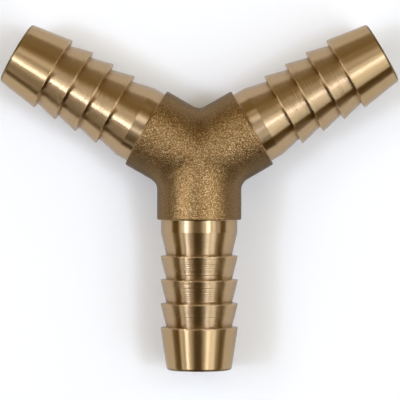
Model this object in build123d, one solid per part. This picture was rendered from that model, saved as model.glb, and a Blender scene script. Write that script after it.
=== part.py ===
from build123d import *
import os

# Brass Y connector for three hoses of one size. A hot-forged hub of three equal barrels carries three
# turned hose tails, 120 degrees apart in one plane, and a bore runs from each tail to the middle.
# It is one piece of metal. The origin is where the three bore axes meet. The Y lies in the XY plane,
# with its stem along -Y, and +Z points away from the side that it lies on.

# Driving dimensions, in millimetres and degrees

arm_count = 3
stem_angle = -90.0

bore_diameter = 7.0
mouth_chamfer = 0.15

# The tail's sections, from the bore outwards
root_wall = 1.1
barb_height = 0.8
neck_relief = 0.05
shoulder_height = 0.55
tip_wall = 1.03

# Lengths along an arm, from the middle of the Y outwards
hub_reach = 8.6
neck_length = 1.7
neck_taper_length = 3.3
barb_pitch = 3.34
short_barb_count = 3
tip_length = 6.0
barb_land = 0.16

# Edges and blends
crotch_radius = 1.7
hub_edge_break = 0.15
tip_edge_break = 0.25

# Radii and stations that follow from them

bore_radius = bore_diameter / 2
root_radius = bore_radius + root_wall
barb_radius = root_radius + barb_height
neck_radius = barb_radius - neck_relief
hub_radius = neck_radius + shoulder_height
tip_radius = bore_radius + tip_wall

neck_end = hub_reach + neck_length
first_barb = neck_end + neck_taper_length
tip_barb = first_barb + short_barb_count * barb_pitch
arm_reach = tip_barb + tip_length

arm_angles = [stem_angle + i * 360 / arm_count for i in range(arm_count)]


def around_the_y(arm):
    """One copy of a solid made along +X on each arm of the Y."""
    return [Rot(0, 0, angle) * arm for angle in arm_angles]


def forged_hub():
    """Three equal barrels that meet in the middle, blended in the crotches, with their rims broken."""
    barrel = Rot(0, 90, 0) * Cylinder(hub_radius, hub_reach, align=(Align.CENTER, Align.CENTER, Align.MIN))
    hub = Part() + around_the_y(barrel)
    crotches = hub.edges().filter_by(GeomType.ELLIPSE)
    hub = fillet(crotches, crotch_radius)
    rims = hub.edges().filter_by(lambda edge: edge.geom_type == GeomType.CIRCLE and edge.is_closed)
    return chamfer(rims, hub_edge_break)


def tail_outline():
    """Half of the tail's lengthwise section: distance from the middle along X, radius along Y."""
    points = [(0, 0), (0, neck_radius), (neck_end, neck_radius), (first_barb, root_radius)]
    for i in range(short_barb_count):
        crest = first_barb + i * barb_pitch
        points += [(crest, barb_radius), (crest + barb_land, barb_radius), (crest + barb_pitch, root_radius)]
    points += [(tip_barb, barb_radius), (tip_barb + barb_land, barb_radius)]
    points += [(arm_reach, tip_radius), (arm_reach, 0)]
    outline = make_face(Polyline(*points, close=True))
    end_corner = outline.vertices().filter_by(lambda v: v.X > tip_barb + barb_land and v.Y > 0)
    return chamfer(end_corner, min(tip_edge_break, tip_wall / 2))


def hose_tail():
    """A turned tail: a plain neck at the hub, a taper, short barbs, and one long barb that leads in."""
    return revolve(tail_outline(), Axis.X)


def bore_tool():
    """What is drilled out of one arm, with the chamfer at its mouth."""
    mouth_radius = bore_radius + min(mouth_chamfer, tip_wall / 4)
    chamfer_start = arm_reach - (mouth_radius - bore_radius)
    points = [(0, 0), (0, bore_radius), (chamfer_start, bore_radius), (arm_reach, mouth_radius), (arm_reach, 0)]
    return revolve(make_face(Polyline(*points, close=True)), Axis.X)


connector = forged_hub() + around_the_y(hose_tail()) - around_the_y(bore_tool())

os.makedirs("parts", exist_ok=True)
export_step(connector, "parts/y_connector.step")
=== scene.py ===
import math

import bpy
import numpy as np
from mathutils import Matrix, Vector


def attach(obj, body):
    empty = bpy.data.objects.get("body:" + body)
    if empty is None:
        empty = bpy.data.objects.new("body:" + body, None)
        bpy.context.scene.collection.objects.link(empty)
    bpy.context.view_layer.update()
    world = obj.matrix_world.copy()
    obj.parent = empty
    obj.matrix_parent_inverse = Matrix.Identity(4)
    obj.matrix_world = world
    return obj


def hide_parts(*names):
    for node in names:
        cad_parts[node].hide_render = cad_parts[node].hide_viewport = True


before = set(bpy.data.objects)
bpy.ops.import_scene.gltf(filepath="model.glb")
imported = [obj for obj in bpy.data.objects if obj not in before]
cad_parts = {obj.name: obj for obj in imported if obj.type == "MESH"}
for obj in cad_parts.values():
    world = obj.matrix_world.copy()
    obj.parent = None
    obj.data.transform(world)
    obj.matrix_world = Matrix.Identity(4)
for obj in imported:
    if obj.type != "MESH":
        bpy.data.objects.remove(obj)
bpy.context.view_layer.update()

MM = 0.001

# The fitting's sizes, in millimetres and degrees, as the CAD has them

ARM_ANGLES = (-90.0, 30.0, 150.0)
BORE_RADIUS = 3.5
MOUTH_CHAMFER = 0.15
ROOT_RADIUS = 4.6
BARB_RADIUS = 5.4
NECK_RADIUS = 5.35
HUB_RADIUS = 5.9
TIP_RADIUS = 4.53

HUB_REACH = 8.6
NECK_END = 10.3
FIRST_BARB = 13.6
BARB_PITCH = 3.34
SHORT_BARBS = 3
BARB_LAND = 0.16
TIP_BARB = FIRST_BARB + SHORT_BARBS * BARB_PITCH
ARM_REACH = 29.62
CROTCH_RADIUS = 1.7

# Half of the angle between two arms, and how far two of the arms rise from the X axis
HALF_SPREAD = math.radians(60)
ARM_RISE = math.radians(30)

# What the looks add to the CAD's form: how much larger the crotch blend's radius is on top of the hub, and
# how far each kind of corner is rounded
CROTCH_SOFTENING = 2.2
SHOULDER_EDGE = 0.25
SHOULDER_FOOT = 0.04
NECK_CORNER = 0.10
ROOT_CORNER = 0.02
CREST_BACK = 0.07
CREST_EDGE = 0.035
TIP_EDGE = 0.40
MOUTH_EDGE = 0.03

# How wide the painted shade along a valley between two arms is
VALLEY_SHADE_WIDTH = 1.5

# The mesh grid of one arm
AROUND = 192
BLEND_ROWS = 7
BARREL_ROWS = 6
BORE_ROWS = 8
CORNER_STEPS = 4

# A row of points close to each end of an arc keeps the run beside it flat: how close at most, and as a share
# of the shorter run
SUPPORT = 0.03
SUPPORT_SHARE = 0.044

# Points that round to the same multiple of this are one vertex
SAME_POINT = 0.0005

# The share of the map that is left free at each end, and the share of an arm's band at each of its sides
MAP_END = 0.01
MAP_GAP = 0.02

# The places of the three finishes among the piece's materials
FORGED, TURNED, BORED = range(3)


def arm_section():
    """Corners of an arm's lengthwise section outside the barrel, as rows of distance, radius and rounding.

    It starts on the barrel, goes over the shoulder, neck, taper and barbs to the end face, and ends in the
    mouth of the bore.
    """
    corners = [
        (HUB_REACH, HUB_RADIUS, SHOULDER_EDGE),
        (HUB_REACH, NECK_RADIUS, SHOULDER_FOOT),
        (NECK_END, NECK_RADIUS, NECK_CORNER),
        (FIRST_BARB, ROOT_RADIUS, ROOT_CORNER),
    ]
    for i in range(SHORT_BARBS):
        crest = FIRST_BARB + i * BARB_PITCH
        corners += [
            (crest, BARB_RADIUS, CREST_BACK),
            (crest + BARB_LAND, BARB_RADIUS, CREST_EDGE),
            (crest + BARB_PITCH, ROOT_RADIUS, ROOT_CORNER),
        ]
    corners += [
        (TIP_BARB, BARB_RADIUS, CREST_BACK),
        (TIP_BARB + BARB_LAND, BARB_RADIUS, CREST_EDGE),
        (ARM_REACH, TIP_RADIUS, TIP_EDGE),
        (ARM_REACH, BORE_RADIUS + MOUTH_CHAMFER, MOUTH_EDGE),
        (ARM_REACH - MOUTH_CHAMFER, BORE_RADIUS, MOUTH_EDGE),
    ]
    return np.array(corners)


def rounded_section(corners, before, after):
    """The section with each corner turned into an arc, and a row of points close to each end of the arc.

    With d1 and d2 the directions into and out of a corner and t the angle between them, an arc of radius r
    starts r tan(t/2) before the corner. At the angle a of its turn it has gone r sin(a) along d1 and
    r (1 - cos(a)) sideways, to the side that the section turns to. No arc takes more than half of a run.
    """
    places, radii = corners[:, :2], corners[:, 2]
    line = np.vstack([before, places, after])
    runs = np.diff(line, axis=0)
    lengths = np.hypot(runs[:, 0], runs[:, 1])
    shorter = np.minimum(lengths[:-1], lengths[1:])
    ways = runs / lengths[:, None]
    into, out_of = ways[:-1], ways[1:]
    cross = into[:, 0] * out_of[:, 1] - into[:, 1] * out_of[:, 0]
    turn = np.arctan2(cross, (into * out_of).sum(1))
    reach = np.minimum(radii * np.tan(np.abs(turn) / 2), shorter / 2)
    radii = reach / np.tan(np.abs(turn) / 2)
    side = np.stack([-into[:, 1], into[:, 0]], 1) * np.sign(turn)[:, None]
    start = places - into * reach[:, None]
    end = places + out_of * reach[:, None]
    angles = np.abs(turn)[:, None] * np.linspace(0, 1, CORNER_STEPS + 1)
    arcs = (
        start[:, None, :]
        + (radii[:, None] * np.sin(angles))[..., None] * into[:, None, :]
        + (radii[:, None] * (1 - np.cos(angles)))[..., None] * side[:, None, :]
    )
    gap = np.minimum(SUPPORT, shorter * SUPPORT_SHARE)[:, None]
    rows = np.concatenate([(start - into * gap)[:, None, :], arcs, (end + out_of * gap)[:, None, :]], axis=1)
    return rows.reshape(-1, 2)


def crotch_blend(theta):
    """The rolled blend between an arm's barrel and its neighbours, from the plane between two arms outwards.

    The ball's radius r grows from the crotch to the top of the hub, with the square of sin(theta). A ball
    that touches two barrels of radius R has its middle at a distance (R + r) |cos(theta)| / sqrt 3 along the
    arm, and R + r from its axis. It touches the barrel at the angle theta, and from there to the plane
    between the arms its surface turns by asin(|cos(theta)| / 2). At a turn b from the touching point, the
    surface is the middle plus r (-cos(b) u + sin(b) w), where u points from the axis to the ball, n from the
    plane between the arms to this arm, and w is -(n + sin(turn) u) / cos(turn).
    """
    cos_t, sin_t = np.cos(theta), np.sin(theta)
    ball = CROTCH_RADIUS + CROTCH_SOFTENING * sin_t ** 2
    share = np.linspace(1, 0, BLEND_ROWS)[:, None]
    turn = np.arcsin(np.abs(cos_t) / 2)
    outward = np.stack([np.zeros_like(theta), cos_t, sin_t], -1)
    side = np.where(cos_t < 0, -1.0, 1.0)
    plane = np.stack([
        np.full_like(theta, math.sin(HALF_SPREAD)),
        -side * math.cos(HALF_SPREAD),
        np.zeros_like(theta),
    ], -1)
    across = -(plane + np.sin(turn)[:, None] * outward) / np.cos(turn)[:, None]
    middle = (HUB_RADIUS + ball)[:, None] * outward
    middle[:, 0] = (HUB_RADIUS + ball) * np.abs(cos_t) / math.sqrt(3)
    bend = (share * turn)[..., None]
    return middle + ball[:, None] * (-np.cos(bend) * outward + np.sin(bend) * across)


def valley_shade_share(grid, theta):
    """How much of a valley between two arms a point lies in, from 0 to 1.

    It falls off as exp(-(d / w)^2) with the distance d from the plane between the arms, and along the valley
    it goes with |cos(theta)| sin(theta)^4, which is greatest towards the top of the hub, where sin(theta)^2
    is 4/5.
    """
    # The share sets where the skin's colour is painted darker as shade in the valleys
    distance = grid[..., 0] * math.sin(HALF_SPREAD) - np.abs(grid[..., 1]) * math.cos(HALF_SPREAD)
    along_valley = np.abs(np.cos(theta)) * np.sin(theta) ** 4
    return np.exp(-(distance / VALLEY_SHADE_WIDTH) ** 2) * along_valley / along_valley.max()


def arm_grid():
    """All points of the arm along +X, as a grid of rows from the hub's middle outwards and down the bore.

    Rows are: the crotch blend; the barrel, from where the blend ends to just before its rim; the turned
    section, which is the same at each angle; and the bore, which runs straight back to
    |cos(theta)| r / sqrt 3, where it meets the other two bores. The grid comes with each point's share of a
    valley, the number of rows that have the hub's skin, and the number of rows in the bore.
    """
    theta = np.arange(AROUND) * 2 * math.pi / AROUND

    def turned(x, radius):
        x, radius, angle = np.broadcast_arrays(x, radius, theta)
        return np.stack([x, radius * np.cos(angle), radius * np.sin(angle)], -1)

    blend = crotch_blend(theta)
    barrel_end = HUB_REACH - SHOULDER_EDGE - SUPPORT
    spread = np.linspace(0, 1, BARREL_ROWS + 1)[1:-1, None]
    barrel = turned(blend[-1, :, 0] * (1 - spread) + barrel_end * spread, HUB_RADIUS)
    section = rounded_section(
        arm_section(),
        before=(HUB_REACH / 2, HUB_RADIUS),
        after=(ARM_REACH / 2, BORE_RADIUS),
    )
    tail = turned(section[:, :1], section[:, 1:])
    bores_meet = BORE_RADIUS * np.abs(np.cos(theta)) / math.sqrt(3)
    spread = np.linspace(0, 1, BORE_ROWS + 1)[1:, None]
    bore = turned(section[-1, 0] * (1 - spread) + bores_meet * spread, BORE_RADIUS)
    grid = np.concatenate([blend, barrel, tail, bore], 0)
    hub_rows = len(blend) + len(barrel) + CORNER_STEPS
    return grid, valley_shade_share(grid, theta), hub_rows, len(bore)


def on_each_arm(grid):
    """The points of one arm turned to each arm's angle, as an array of arm, row, column and coordinate."""
    turns = np.radians(ARM_ANGLES)[:, None, None]
    x, y, z = grid[..., 0], grid[..., 1], grid[..., 2]
    turned_x = x * np.cos(turns) - y * np.sin(turns)
    turned_y = x * np.sin(turns) + y * np.cos(turns)
    return np.stack([turned_x, turned_y, np.broadcast_to(z, turned_x.shape)], -1)


def quad_map(grid, arm, row, column):
    """Each quad's four corners on the map, which has a band for each arm, with its length along U."""
    step = np.linalg.norm(np.diff(grid, axis=0), axis=2).mean(1)
    along = np.concatenate([[0.0], np.cumsum(step)])
    u = MAP_END + (1 - 2 * MAP_END) * along / along[-1]

    def across(place):
        return (arm + MAP_GAP + (1 - 2 * MAP_GAP) * place / grid.shape[1]) / len(ARM_ANGLES)

    near, far = u[row], u[row + 1]
    low, high = across(column), across(column + 1)
    corners = ((near, low), (near, high), (far, high), (far, low))
    return np.stack([np.stack(corner, -1) for corner in corners], 1)


def mesh_of_quads(name, vertices, quads, finish, uv):
    """A mesh with a finish for each quad. A quad with two corners on one vertex turns into a triangle."""
    keep = quads != np.roll(quads, -1, axis=1)
    whole = keep.sum(1) >= 3
    keep &= whole[:, None]
    sizes = keep.sum(1)[whole]
    mesh = bpy.data.meshes.new(name)
    mesh.vertices.add(len(vertices))
    mesh.vertices.foreach_set("co", vertices.ravel())
    mesh.loops.add(int(sizes.sum()))
    mesh.loops.foreach_set("vertex_index", quads[keep].astype(np.int32))
    mesh.polygons.add(len(sizes))
    mesh.polygons.foreach_set("loop_start", np.concatenate([[0], np.cumsum(sizes)[:-1]]).astype(np.int32))
    mesh.polygons.foreach_set("material_index", finish[whole].astype(np.int32))
    mesh.update(calc_edges=True)
    mesh.uv_layers.new(name="OFBake").data.foreach_set("uv", uv[keep].ravel())
    return mesh


def keep_numbers(mesh, name, numbers):
    """Stores a number for each vertex, for a material to read."""
    mesh.attributes.new(name, "FLOAT", "POINT").data.foreach_set("value", numbers.astype(np.float32))


def connector_mesh():
    """One closed skin: the arm's grid on each arm, with a point that two or three arms share as one vertex.

    Each vertex knows how far along its arm it is, in millimetres, and its share of a valley.
    """
    grid, valley_shade, hub_rows, bore_rows = arm_grid()
    rows, columns = grid.shape[:2]
    arms = len(ARM_ANGLES)
    points = on_each_arm(grid).reshape(-1, 3)
    keys = np.round(points / SAME_POINT).astype(np.int64)
    _, first, vertex = np.unique(keys, axis=0, return_index=True, return_inverse=True)
    vertex = vertex.reshape(arms, rows, columns)

    inner, outer = vertex[:, :-1, :], vertex[:, 1:, :]
    quads = np.stack([inner, np.roll(inner, -1, 2), np.roll(outer, -1, 2), outer], -1).reshape(-1, 4)
    arm, row, column = (index.ravel() for index in np.indices((arms, rows - 1, columns)))
    finish = np.select([row < hub_rows - 1, row < rows - 1 - bore_rows], [FORGED, TURNED], BORED)
    mesh = mesh_of_quads("brass_y", points[first] * MM, quads, finish, quad_map(grid, arm, row, column))

    station = np.broadcast_to(grid[..., 0].max(1)[:, None], (arms, rows, columns))
    keep_numbers(mesh, "along_arm", station.reshape(-1)[first])
    keep_numbers(mesh, "valley_shade", np.tile(valley_shade.ravel(), arms)[first])
    mesh.validate()
    mesh.shade_smooth()
    return mesh


# Materials

def set_stops(color_ramp, stops):
    """Gives a colour ramp its stops, each with a place from 0 to 1 and a colour."""
    elements = color_ramp.elements
    while len(elements) < len(stops):
        elements.new(0.5)
    for element, (place, colour) in zip(elements, stops):
        element.position = place
        element.color = (*colour, 1.0)


class Nodes:
    """A short way to write a material's nodes."""

    def __init__(self, name):
        self.material = bpy.data.materials.new(name)
        self.material.use_nodes = True
        self.tree = self.material.node_tree
        self.tree.nodes.clear()
        self.shader = self.add("ShaderNodeBsdfPrincipled")
        output = self.add("ShaderNodeOutputMaterial")
        self.join(self.shader.outputs[0], output.inputs["Surface"])

    def add(self, kind, **settings):
        node = self.tree.nodes.new(kind)
        for key, value in settings.items():
            setattr(node, key, value)
        return node

    def join(self, source, target):
        self.tree.links.new(source, target)

    def put(self, socket, value):
        """Links a node's output to the socket, or writes a plain value in it."""
        if isinstance(value, bpy.types.NodeSocket):
            self.join(value, socket)
        else:
            socket.default_value = value

    def surface(self, **values):
        """Sets the shader's inputs, named as Blender has them, with a low line for each space."""
        for name, value in values.items():
            self.put(self.shader.inputs[name.replace("_", " ")], value)

    def math(self, operation, a, b=0.0, c=0.0):
        node = self.add("ShaderNodeMath", operation=operation)
        for socket, value in zip(node.inputs, (a, b, c)):
            self.put(socket, value)
        return node.outputs[0]

    def times(self, a, b):
        return self.math("MULTIPLY", a, b)

    def between(self, value, low, high):
        """1 where the value lies between two numbers, and 0 elsewhere."""
        return self.times(self.math("GREATER_THAN", value, low), self.math("LESS_THAN", value, high))

    def span(self, value, low, high, to_low, to_high):
        """Runs from one number to another while the value goes from low to high, and stays level beyond."""
        node = self.add("ShaderNodeMapRange")
        for socket, number in zip(node.inputs, (value, low, high, to_low, to_high)):
            self.put(socket, number)
        return node.outputs[0]

    def noise(self, place, scale, detail=2.0, roughness=0.5):
        node = self.add("ShaderNodeTexNoise")
        settings = {"Vector": place, "Scale": scale, "Detail": detail, "Roughness": roughness}
        for name, value in settings.items():
            self.put(node.inputs[name], value)
        return node.outputs["Fac"]

    def rings(self, along, scale, detail, roughness):
        """Noise that changes only along the arm, so that it draws rings around it."""
        node = self.add("ShaderNodeTexNoise", noise_dimensions="1D")
        settings = {"W": along, "Scale": scale, "Detail": detail, "Roughness": roughness}
        for name, value in settings.items():
            self.put(node.inputs[name], value)
        return node.outputs["Fac"]

    def ramp(self, value, stops):
        node = self.add("ShaderNodeValToRGB")
        set_stops(node.color_ramp, stops)
        self.join(value, node.inputs["Fac"])
        return node.outputs["Color"]

    def mix(self, factor, a, b, blend="MIX"):
        node = self.add("ShaderNodeMix", data_type="RGBA", blend_type=blend)
        factor_socket, a_socket, b_socket = node.inputs["Factor"], node.inputs[6], node.inputs[7]
        for socket, value in ((factor_socket, factor), (a_socket, a), (b_socket, b)):
            self.put(socket, value)
        return node.outputs[2]

    def bump(self, height, distance, strength=1.0, normal=None):
        node = self.add("ShaderNodeBump")
        node.inputs["Strength"].default_value = strength
        node.inputs["Distance"].default_value = distance
        self.join(height, node.inputs["Height"])
        if normal is not None:
            self.join(normal, node.inputs["Normal"])
        return node.outputs["Normal"]

    def place(self):
        return self.add("ShaderNodeTexCoord").outputs["Object"]

    def part(self, vector, axis):
        node = self.add("ShaderNodeSeparateXYZ")
        self.join(vector, node.inputs[0])
        return node.outputs[axis]

    def attribute(self, name):
        return self.add("ShaderNodeAttribute", attribute_name=name).outputs["Fac"]


def forged_skin():
    """Blasted forging: a deeper gold-brown, matt, covered in fine pits that sparkle where a lamp is near.

    The sides, near the split between the forging's two dies, are smoother than the top and bottom, and
    are painted darker there as shade. Painted shade also darkens the valleys between the arms, the two
    that face the stem most, and the flanks of the two side arms that face the stem.
    """
    n = Nodes("forged_brass_skin")
    place = n.place()
    out, up = n.math("ABSOLUTE", n.part(place, "X")), n.part(place, "Y")
    height = n.math("ABSOLUTE", n.part(place, "Z"))
    # 1 on the top and bottom, which have the full grain and no painted shade, and 0 on the sides
    blasted_and_lit = n.span(height, 3.9 * MM, 5.2 * MM, 0.0, 1.0)
    grain = n.noise(place, 5400, detail=1.0)
    pits = n.noise(place, 15000, detail=0.0)
    mottle = n.noise(place, 900, detail=3.0, roughness=0.55)

    colour = n.ramp(grain, [
        (0.36, (0.169, 0.092, 0.026)),
        (0.54, (0.306, 0.183, 0.074)),
        (0.67, (0.530, 0.353, 0.177)),
    ])
    colour = n.mix(n.span(mottle, 0.35, 0.65, 0.0, 0.22), colour, (0.228, 0.137, 0.056, 1.0))
    # Painted shade: the sides, where the height is low, take a darker colour
    shaded_sides = n.mix(0.68, colour, (0.180, 0.113, 0.054, 1.0))
    colour = n.mix(blasted_and_lit, shaded_sides, colour)

    # How far a point is from the upright plane through its arm's axis, towards the stem
    below = n.math("SUBTRACT", n.times(out, math.sin(ARM_RISE)), n.times(up, math.cos(ARM_RISE)))
    beside_stem = n.span(out, 5.6 * MM, 7.6 * MM, 0.0, 1.0)
    stem_side_shade = n.times(n.span(below, 3.0 * MM, 4.8 * MM, 0.0, 1.0), beside_stem)
    # Painted shade: the flanks of the two side arms that face the stem are darkened
    colour = n.mix(stem_side_shade, colour, (0.70, 0.71, 0.73, 1.0), blend="MULTIPLY")
    # Painted shade: the valleys are darkened, the two beside the stem more than the top one
    valley_shade = n.times(n.attribute("valley_shade"), n.span(up, -1.0 * MM, 1.0 * MM, 1.0, 0.58))
    colour = n.mix(valley_shade, colour, (0.66, 0.64, 0.60, 1.0), blend="MULTIPLY")

    depth = n.times(grain, n.span(blasted_and_lit, 0.0, 1.0, 0.5, 1.0))
    n.surface(
        Base_Color=colour,
        Metallic=1.0,
        Specular_Tint=(0.60, 0.61, 0.62, 1.0),
        Roughness=n.span(grain, 0.3, 0.7, 0.30, 0.34),
        Normal=n.bump(depth, 0.07 * MM, normal=n.bump(pits, 0.02 * MM)),
    )
    return n.material


def turned_brass():
    """Turned brass: fine rings left by the tool around each tail, and the highlight drawn out along the arm.

    The crest of each barb has a narrow band, a little uneven, whose colour is painted lighter as a
    painted glint, and the rounded end of each tail is painted darker as shade. The rings are deeper on
    the short barbs than on the neck and the lead-in barb.
    """
    n = Nodes("turned_brass")
    place = n.place()
    along = n.attribute("along_arm")
    rings = n.rings(along, 4.5, detail=1.0, roughness=0.6)
    wander = n.noise(place, 600)
    rough_edge = n.noise(place, 9000, detail=0.0)

    # How far a point is from the middle of the nearest crest's band, and from that the band's share
    half_band = 0.07
    past = n.math("WRAP", along, FIRST_BARB + BARB_PITCH / 2, FIRST_BARB - BARB_PITCH / 2)
    past = n.math("ABSOLUTE", n.math("SUBTRACT", past, FIRST_BARB + half_band))
    on_barbs = n.between(along, FIRST_BARB - 1, TIP_BARB + 1)
    crest = n.times(n.span(past, half_band, 2 * half_band, 1.0, 0.0), on_barbs)
    # Where the painted shade on the rounded end of each tail lies
    end_shade_starts = n.span(along, ARM_REACH - 0.36, ARM_REACH - 0.22, 0.0, 1.0)
    end = n.times(end_shade_starts, n.span(along, ARM_REACH - 0.07, ARM_REACH - 0.01, 1.0, 0.0))
    lead_in = n.span(along, TIP_BARB, TIP_BARB + 0.2, 0.0, 1.0)

    colour = n.ramp(rings, [(0.25, (0.415, 0.289, 0.160)), (0.75, (0.435, 0.302, 0.172))])
    colour = n.mix(n.span(wander, 0.4, 0.7, 0.0, 0.12), colour, (0.376, 0.254, 0.131, 1.0))
    colour = n.mix(lead_in, colour, (1.0, 0.99, 0.92, 1.0), blend="MULTIPLY")
    # Painted glint: the crest band is lighter than the rest of the tail
    colour = n.mix(crest, colour, (0.50, 0.348, 0.185, 1.0))
    # Painted shade: the rounded end of each tail is darkened
    colour = n.mix(n.times(end, 0.8), colour, (0.12, 0.088, 0.045, 1.0))

    depth = n.span(along, NECK_END, FIRST_BARB, 0.10, 1.0)
    depth = n.times(depth, n.span(along, TIP_BARB + 0.2, TIP_BARB + 0.5, 1.0, 0.25))
    depth = n.times(depth, n.span(n.noise(place, 250, detail=1.0), 0.40, 0.65, 0.8, 1.4))
    height = n.times(n.math("SUBTRACT", rings, 0.5), depth)
    edges = n.bump(n.times(n.math("SUBTRACT", rough_edge, 0.5), crest), 0.03 * MM)
    n.surface(
        Base_Color=colour,
        Metallic=1.0,
        Specular_Tint=(0.82, 0.82, 0.83, 1.0),
        Roughness=n.math("MULTIPLY_ADD", crest, 0.04, 0.28),
        Anisotropic=0.96,
        Tangent=n.add("ShaderNodeTangent", direction_type="UV_MAP", uv_map="OFBake").outputs[0],
        Normal=n.bump(height, 0.037 * MM, normal=edges),
    )
    return n.material


def drilled_bore():
    """The drilled passage: duller brass with the drill's rings."""
    n = Nodes("drilled_brass_bore")
    rings = n.rings(n.attribute("along_arm"), 3.0, detail=3.0, roughness=0.7)
    n.surface(
        Base_Color=n.ramp(rings, [(0.25, (0.31, 0.21, 0.11)), (0.75, (0.39, 0.27, 0.15))]),
        Metallic=1.0,
        Roughness=n.span(rings, 0.3, 0.7, 0.30, 0.42),
        Normal=n.bump(rings, 0.02 * MM, strength=0.6),
    )
    return n.material


fitting = bpy.data.objects.new("brass_y_connector", connector_mesh())
bpy.context.scene.collection.objects.link(fitting)
for material in (forged_skin(), turned_brass(), drilled_bore()):
    fitting.data.materials.append(material)
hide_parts("y_connector")
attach(fitting, "root")


# Studio, in metres

LAMP_HEIGHT = 2.0
LAMP_COLOUR = (0.90, 0.99, 1.08)
HOT_COLOUR = (0.89, 0.98, 1.26)
HALF_TABLE = 3.0

# How much light the table gives off where it is seen, so that it comes out near white
TABLE_LIFT = 0.07


def floor():
    """A plain pale table top that the hub rests on, a little brighter where it is seen or mirrored."""
    z = -HUB_RADIUS * MM
    corners = [(x * HALF_TABLE, y * HALF_TABLE, z) for x, y in ((-1, -1), (1, -1), (1, 1), (-1, 1))]
    mesh = bpy.data.meshes.new("table_top")
    mesh.from_pydata(corners, [], [(0, 1, 2, 3)])
    top = bpy.data.objects.new("table_top", mesh)
    bpy.context.scene.collection.objects.link(top)
    n = Nodes("pale_table")
    path = n.add("ShaderNodeLightPath").outputs
    seen = n.math("MAXIMUM", path["Is Camera Ray"], path["Is Glossy Ray"])
    seen = n.math("MAXIMUM", seen, path["Is Transmission Ray"])
    n.surface(
        Base_Color=(0.93, 0.93, 0.93, 1.0),
        Roughness=0.9,
        Specular_IOR_Level=0.0,
        Emission_Color=(1.0, 1.0, 1.0, 1.0),
        Emission_Strength=n.times(seen, TABLE_LIFT),
    )
    mesh.materials.append(n.material)


def softbox(name, place, size, turn, radiance, colour=LAMP_COLOUR):
    """A flat lamp that faces down. Its power is pi times its area times the brightness that it shows.

    Its place and size are in lamp heights, so that they say in which directions the lamp is seen.
    """
    data = bpy.data.lights.new(name, "AREA")
    data.shape = "RECTANGLE"
    data.size, data.size_y = (side * LAMP_HEIGHT for side in size)
    data.color = colour
    data.energy = math.pi * data.size * data.size_y * radiance
    lamp = bpy.data.objects.new(name, data)
    lamp.location = (place[0] * LAMP_HEIGHT, place[1] * LAMP_HEIGHT, LAMP_HEIGHT)
    lamp.rotation_euler = (0.0, 0.0, math.radians(turn))
    bpy.context.scene.collection.objects.link(lamp)


def studio():
    """Two softboxes, left and right, each with a hot middle, and dimmer panels beside and behind them."""
    softbox("left_softbox_middle", (-0.80, -0.07), (0.30, 0.24), 124.0, 15.8, colour=HOT_COLOUR)
    softbox("left_softbox_side", (-0.60, 0.06), (0.30, 0.24), 124.0, 3.2)
    softbox("left_softbox_back", (-1.13, 0.42), (0.30, 0.72), 124.0, 4.7)
    softbox("left_softbox_front", (-0.63, -0.32), (0.30, 0.72), 124.0, 2.0)
    softbox("left_softbox_edge", (-0.96, 0.17), (0.30, 0.72), 124.0, 2.7)
    softbox("left_softbox_corner", (-0.92, -0.72), (0.30, 0.30), 124.0, 0.9)
    softbox("right_softbox_middle", (0.57, -0.03), (0.27, 0.22), 16.0, 10.9, colour=HOT_COLOUR)
    softbox("right_softbox", (0.57, -0.03), (0.27, 0.66), 16.0, 4.0)
    softbox("right_softbox_side", (0.31, -0.10), (0.27, 0.66), 16.0, 1.4)
    softbox("right_softbox_front", (0.50, -0.62), (0.26, 0.34), 16.0, 2.6)
    softbox("right_softbox_edge", (1.02, -0.13), (0.54, 0.22), 16.0, 2.8)
    softbox("right_softbox_corner", (1.03, 0.33), (0.27, 0.22), 16.0, 5.5)
    softbox("right_wing", (1.15, -0.68), (0.66, 0.92), 24.5, 2.6)
    softbox("right_far_wing", (1.75, -0.40), (0.66, 0.92), 24.5, 0.7)
    softbox("left_wing", (-1.64, -1.33), (0.52, 2.84), 2.0, 1.7)
    softbox("back_strip", (0.10, 0.36), (1.20, 0.20), 0.0, 1.5)
    softbox("right_panel", (2.10, 0.80), (1.20, 1.20), 0.0, 1.75)


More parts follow.
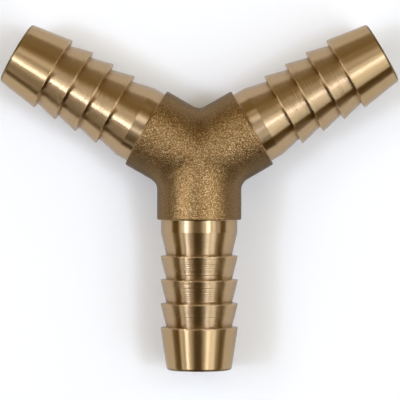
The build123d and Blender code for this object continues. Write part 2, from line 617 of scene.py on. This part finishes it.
def room():
    """A dim, warm room, brighter to the back, with a dark place in its ceiling towards the front."""
    world = bpy.data.worlds.new("room")
    bpy.context.scene.world = world
    world.use_nodes = True
    tree = world.node_tree
    way = tree.nodes.new("ShaderNodeTexCoord").outputs["Generated"]
    background = tree.nodes["Background"]

    parts = tree.nodes.new("ShaderNodeSeparateXYZ")
    front_to_back = tree.nodes.new("ShaderNodeMapRange")
    front_to_back.inputs["From Min"].default_value = -1.0
    walls = tree.nodes.new("ShaderNodeValToRGB")
    set_stops(walls.color_ramp, [
        (0.0, (0.045, 0.018, 0.002)),
        (0.36, (0.21, 0.13, 0.004)),
        (0.50, (0.12, 0.060, 0.010)),
        (0.75, (0.31, 0.20, 0.005)),
        (1.0, (0.415, 0.345, 0.24)),
    ])
    tree.links.new(way, parts.inputs[0])
    tree.links.new(parts.outputs["Y"], front_to_back.inputs[0])
    tree.links.new(front_to_back.outputs[0], walls.inputs["Fac"])
    tree.links.new(walls.outputs["Color"], background.inputs["Color"])

    # The dark place is a round one, about the direction that the dot product is taken with
    nearness = tree.nodes.new("ShaderNodeVectorMath")
    nearness.operation = "DOT_PRODUCT"
    nearness.inputs[1].default_value = (0.0, -0.62, 0.785)
    shade = tree.nodes.new("ShaderNodeMapRange")
    for name, number in (("From Min", 0.90), ("From Max", 0.975), ("To Min", 1.0), ("To Max", 0.25)):
        shade.inputs[name].default_value = number
    tree.links.new(way, nearness.inputs[0])
    tree.links.new(nearness.outputs["Value"], shade.inputs[0])
    tree.links.new(shade.outputs[0], background.inputs["Strength"])


def camera():
    """The photograph's view: nearly straight down, from 0.42 m, through a long lens."""
    place = Vector((7.4, 0.3, 420.0)) * MM
    target = Vector((0.112, -5.824, 0.0)) * MM
    frame_width = 56.0 * MM
    ahead = (target - place).normalized()
    right = ahead.cross(Vector((0.0, 1.0, 0.0))).normalized()
    up = right.cross(ahead)
    data = bpy.data.cameras.new("camera")
    data.sensor_width = 36.0
    data.lens = data.sensor_width * (target - place).length / frame_width
    data.clip_start = 0.01
    data.clip_end = 20.0
    eye = bpy.data.objects.new("camera", data)
    eye.matrix_world = Matrix.Translation(place) @ Matrix((right, up, -ahead)).transposed().to_4x4()
    bpy.context.scene.collection.objects.link(eye)
    bpy.context.scene.camera = eye


floor()
studio()
room()
camera()
bpy.context.scene.view_settings.view_transform = "Standard"
